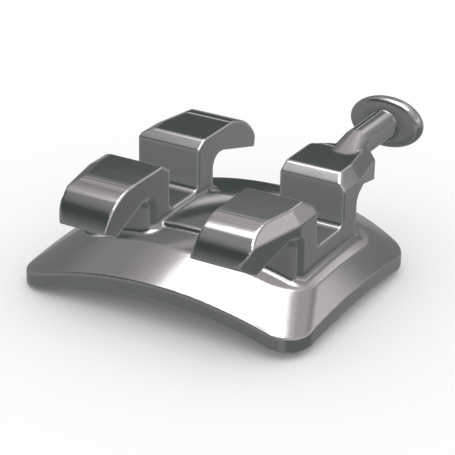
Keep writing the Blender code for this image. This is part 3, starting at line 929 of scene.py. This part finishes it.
def camera(studio, target):
    """The camera, from the photograph's angle."""
    turn, rise, roll = studio.azimuth, studio.elevation, studio.roll
    right = Vector((math.cos(turn), math.sin(turn), 0))
    back = Vector((math.sin(turn) * math.cos(rise), -math.cos(turn) * math.cos(rise), math.sin(rise)))
    up = back.cross(right)
    pixel = MILLIMETRE / studio.scale
    place = target + back * studio.focal * pixel
    place -= right * (studio.middle[0] - PHOTO_SIDE / 2) * pixel
    place += up * (studio.middle[1] - PHOTO_SIDE / 2) * pixel
    tilted_right = right * math.cos(roll) + up * math.sin(roll)
    tilted_up = up * math.cos(roll) - right * math.sin(roll)
    data = bpy.data.cameras.new("camera")
    data.sensor_width = SENSOR_WIDTH
    data.lens = data.sensor_width * studio.focal / PHOTO_SIDE
    data.clip_start, data.clip_end = VIEW_RANGE
    obj = bpy.data.objects.new("camera", data)
    bpy.context.scene.collection.objects.link(obj)
    turned_axes = Matrix((tilted_right, tilted_up, back)).transposed().to_4x4()
    obj.matrix_world = Matrix.Translation(place) @ turned_axes
    bpy.context.scene.camera = obj


def white_cloth(studio):
    material = bpy.data.materials.new("floor")
    material.use_nodes = True
    shader = material.node_tree.nodes["Principled BSDF"]
    shader.inputs["Base Color"].default_value = studio.backdrop
    shader.inputs["Roughness"].default_value = 1.0
    shader.inputs["Specular IOR Level"].default_value = 0.0
    return material


def floor(studio):
    """The level sheet that the bracket lies on, which the metal doesn't mirror."""
    edit = bmesh.new()
    bmesh.ops.create_grid(edit, x_segments=1, y_segments=1, size=0.5)
    mesh = bpy.data.meshes.new("floor")
    edit.to_mesh(mesh)
    edit.free()
    mesh.materials.append(white_cloth(studio))
    sheet = bpy.data.objects.new("floor", mesh)
    bpy.context.scene.collection.objects.link(sheet)
    place = Matrix.Translation((0, 0, CAD_BOX[0][2]))
    sheet.matrix_world = place @ Matrix.Diagonal((FLOOR_SIZE, FLOOR_SIZE, 1, 1))
    sheet.visible_glossy = False


def white_world(studio):
    world = bpy.data.worlds.new("studio")
    world.use_nodes = True
    background = world.node_tree.nodes["Background"]
    background.inputs["Color"].default_value = studio.backdrop
    background.inputs["Strength"].default_value = 1.0
    bpy.context.scene.world = world


class BRACKET_OT_bracket(bpy.types.Operator):
    """Builds the bracket's moulded body over the CAD part"""
    bl_idname = "bracket.bracket"
    bl_label = "Bracket"

    def execute(self, context):
        scene = context.scene
        s = sizes_of(scene)
        bracket = bonding_base(s)
        for part in (twins(s), hook(s)):
            combine(bracket, part, "UNION")
        weld(bracket.data)
        skin_of(bracket, scene.bracket_surface)
        bracket.name = "bracket_body"
        bracket.data.transform(Matrix.Scale(MILLIMETRE, 4))
        bracket.data.materials.clear()
        bracket.data.materials.append(polished_steel(scene.bracket_surface))
        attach(bracket, "root")
        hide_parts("bracket")
        # The polished faces mirror the tent and not each other, which keeps their bands of light whole
        bracket.visible_glossy = False
        return {"FINISHED"}


class BRACKET_OT_studio(bpy.types.Operator):
    """Sets up the pale floor, the soft light and the camera"""
    bl_idname = "bracket.studio"
    bl_label = "Studio"

    def execute(self, context):
        scene = context.scene
        studio = scene.bracket_studio
        scene.view_settings.view_transform = "Standard"
        white_world(studio)
        floor(studio)
        tent(studio)
        camera(studio, Vector((0, 0, scene.bracket_twins.profile_height)))
        return {"FINISHED"}


class BRACKET_PT_sidebar(bpy.types.Panel):
    """Lists the bracket's operators and sizes"""
    bl_idname = "BRACKET_PT_sidebar"
    bl_label = "Orthodontic Bracket"
    bl_space_type = "VIEW_3D"
    bl_region_type = "UI"
    bl_category = "Bracket"

    def draw(self, context):
        column = self.layout.column()
        for operator in OPERATORS:
            column.operator(operator.bl_idname)
        for name, group in GROUPS.items():
            sizes = getattr(context.scene, name)
            column.separator()
            for setting in group.__annotations__:
                column.prop(sizes, setting)


OPERATORS = (BRACKET_OT_bracket, BRACKET_OT_studio)
CLASSES = (BaseSizes, TwinSizes, HookSizes, SurfaceSettings, StudioSettings, *OPERATORS, BRACKET_PT_sidebar)
GROUPS = {
    "bracket_base": BaseSizes,
    "bracket_twins": TwinSizes,
    "bracket_hook": HookSizes,
    "bracket_surface": SurfaceSettings,
    "bracket_studio": StudioSettings,
}


def register():
    for cls in CLASSES:
        bpy.utils.register_class(cls)
    for name, group in GROUPS.items():
        setattr(bpy.types.Scene, name, PointerProperty(type=group))


def unregister():
    for name in GROUPS:
        delattr(bpy.types.Scene, name)
    for cls in reversed(CLASSES):
        bpy.utils.unregister_class(cls)


def main():
    register()
    bpy.ops.bracket.bracket()
    bpy.ops.bracket.studio()


if __name__ == "__main__":
    main()
